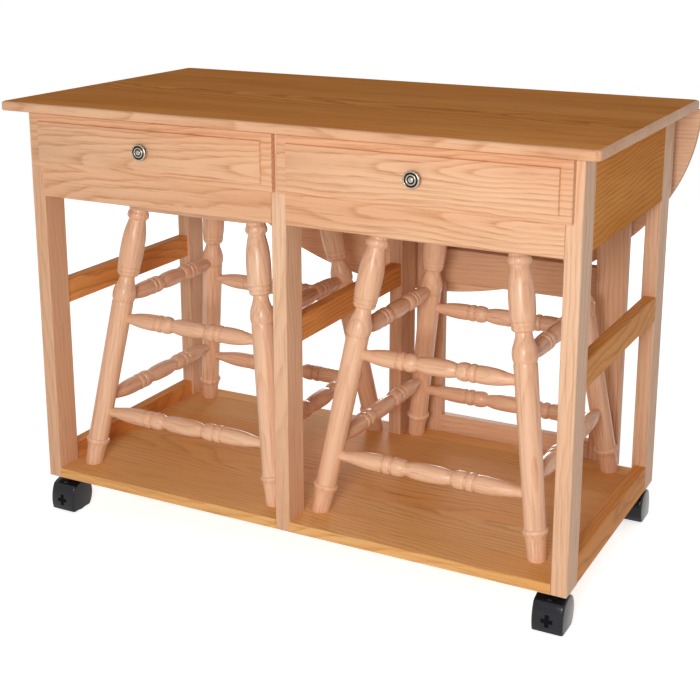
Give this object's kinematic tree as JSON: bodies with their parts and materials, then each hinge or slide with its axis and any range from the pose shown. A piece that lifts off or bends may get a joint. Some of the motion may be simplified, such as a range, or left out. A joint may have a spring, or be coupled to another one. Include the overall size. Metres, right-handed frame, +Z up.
{
  "type": "mobile bar with drop leaf and stools",
  "caption": "Oak kitchen bar on casters with drawers, a half-oval drop leaf on a swing-out gate, and turned stools stored under its top.",
  "frame": {"origin": "on the floor, midway under the whole bar with its leaf hanging", "axes": "+X along the drawer fronts to the right, +Y from the drawers to the drop leaf, +Z up"},
  "size_m": [1.22, 0.682, 0.88],
  "materials": {
    "oak_top": "semi-gloss lacquered oak, honey brown, boards edge-glued along X",
    "oak_leaf": "satin lacquered oak, light",
    "oak_face": "satin lacquered oak, light",
    "oak_frame": "satin lacquered oak, honey",
    "drawer_wood": "plain planed softwood",
    "knob_metal": "brushed pewter",
    "oak_seat": "satin lacquered oak",
    "oak_turned": "satin lacquered turned oak",
    "oak_shelf": "satin lacquered oak",
    "hinge_steel": "satin zinc plate",
    "caster_black": "moulded black plastic",
    "wheel_plastic": "moulded dark grey plastic",
    "axle_steel": "bright steel pin"
  },
  "bodies": {
    "cart": {"top_board": "oak_top", "post_front_left": "oak_face", "post_rear_left": "oak_frame", "apron_left": "oak_frame", "mid_rail_left": "oak_frame", "post_front_centre": "oak_face", "post_rear_centre": "oak_frame", "apron_centre": "oak_frame", "mid_rail_centre": "oak_frame", "post_front_right": "oak_face", "post_rear_right": "oak_frame", "apron_right": "oak_frame", "mid_rail_right": "oak_frame", "lower_rail_left": "oak_frame", "lower_rail_right": "oak_frame", "base_shelf": "oak_shelf", "front_rail_left": "oak_face", "front_rail_right": "oak_face", "back_apron": "oak_frame", "gate_hanging_strip": "oak_frame", "drawer_runners": "drawer_wood", "leaf_hinge_top_plates": "hinge_steel", "gate_hinge_strip_plates": "hinge_steel", "caster_plates": "hinge_steel", "leaf_hinge_pins": "hinge_steel", "gate_hinge_pins": "hinge_steel"},
    "leaf": {"drop_leaf": "oak_leaf", "leaf_hinge_leaf_plates": "hinge_steel"},
    "gate": {"gate_hinge_stile": "oak_frame", "gate_free_stile": "oak_frame", "gate_rails": "oak_frame", "gate_hinge_gate_plates": "hinge_steel"},
    "drawer_left": {"drawer_front_left": "oak_face", "drawer_sides_left": "drawer_wood", "drawer_back_left": "drawer_wood", "drawer_bottom_left": "drawer_wood", "drawer_knob_left": "knob_metal"},
    "stool_left": {"stool_seat_left": "oak_seat", "stool_legs_left": "oak_turned", "stool_stretchers_left": "oak_turned"},
    "drawer_right": {"drawer_front_right": "oak_face", "drawer_sides_right": "drawer_wood", "drawer_back_right": "drawer_wood", "drawer_bottom_right": "drawer_wood", "drawer_knob_right": "knob_metal"},
    "stool_right": {"stool_seat_right": "oak_seat", "stool_legs_right": "oak_turned", "stool_stretchers_right": "oak_turned"},
    "caster_front_left": {"caster_hood_front_left": "caster_black", "caster_axle_front_left": "axle_steel"},
    "wheels_front_left": {"caster_wheels_front_left": "wheel_plastic"},
    "caster_front_right": {"caster_hood_front_right": "caster_black", "caster_axle_front_right": "axle_steel"},
    "wheels_front_right": {"caster_wheels_front_right": "wheel_plastic"},
    "caster_rear_left": {"caster_hood_rear_left": "caster_black", "caster_axle_rear_left": "axle_steel"},
    "wheels_rear_left": {"caster_wheels_rear_left": "wheel_plastic"},
    "caster_rear_right": {"caster_hood_rear_right": "caster_black", "caster_axle_rear_right": "axle_steel"},
    "wheels_rear_right": {"caster_wheels_rear_right": "wheel_plastic"}
  },
  "joints": [
    {"name": "drawer_left_slide", "type": "slide", "parent": "cart", "child": "drawer_left", "axis": [0, -1, 0], "range_m": [0, 0.36]},
    {"name": "drawer_right_slide", "type": "slide", "parent": "cart", "child": "drawer_right", "axis": [0, -1, 0], "range_m": [0, 0.36]},
    {"name": "leaf_hinge", "type": "hinge", "parent": "cart", "child": "leaf", "pos_m": [0, 0.31925, 0.8582], "axis": [1, 0, 0], "range_deg": [0, 90]},
    {"name": "gate_hinge", "type": "hinge", "parent": "cart", "child": "gate", "pos_m": [0.0142, 0.27675, 0.47], "axis": [0, 0, 1], "range_deg": [0, 3.2]},
    {"name": "caster_front_left_swivel", "type": "hinge", "parent": "cart", "child": "caster_front_left", "pos_m": [-0.54, -0.25505, 0.07], "axis": [0, 0, 1], "continuous": true},
    {"name": "wheels_front_left_roll", "type": "hinge", "parent": "caster_front_left", "child": "wheels_front_left", "pos_m": [-0.54, -0.27005, 0.029], "axis": [1, 0, 0], "continuous": true},
    {"name": "caster_front_right_swivel", "type": "hinge", "parent": "cart", "child": "caster_front_right", "pos_m": [0.54, -0.25505, 0.07], "axis": [0, 0, 1], "continuous": true},
    {"name": "wheels_front_right_roll", "type": "hinge", "parent": "caster_front_right", "child": "wheels_front_right", "pos_m": [0.54, -0.27005, 0.029], "axis": [1, 0, 0], "continuous": true},
    {"name": "caster_rear_left_swivel", "type": "hinge", "parent": "cart", "child": "caster_rear_left", "pos_m": [-0.54, 0.21695, 0.07], "axis": [0, 0, 1], "continuous": true},
    {"name": "wheels_rear_left_roll", "type": "hinge", "parent": "caster_rear_left", "child": "wheels_rear_left", "pos_m": [-0.54, 0.23195, 0.029], "axis": [1, 0, 0], "continuous": true},
    {"name": "caster_rear_right_swivel", "type": "hinge", "parent": "cart", "child": "caster_rear_right", "pos_m": [0.54, 0.21695, 0.07], "axis": [0, 0, 1], "continuous": true},
    {"name": "wheels_rear_right_roll", "type": "hinge", "parent": "caster_rear_right", "child": "wheels_rear_right", "pos_m": [0.54, 0.23195, 0.029], "axis": [1, 0, 0], "continuous": true},
    {"name": "stool_left_slide", "type": "slide", "parent": "cart", "child": "stool_left", "axis": [0, -1, 0], "range_m": [0, 0.6]},
    {"name": "stool_right_slide", "type": "slide", "parent": "cart", "child": "stool_right", "axis": [0, -1, 0], "range_m": [0, 0.6]}
  ]
}
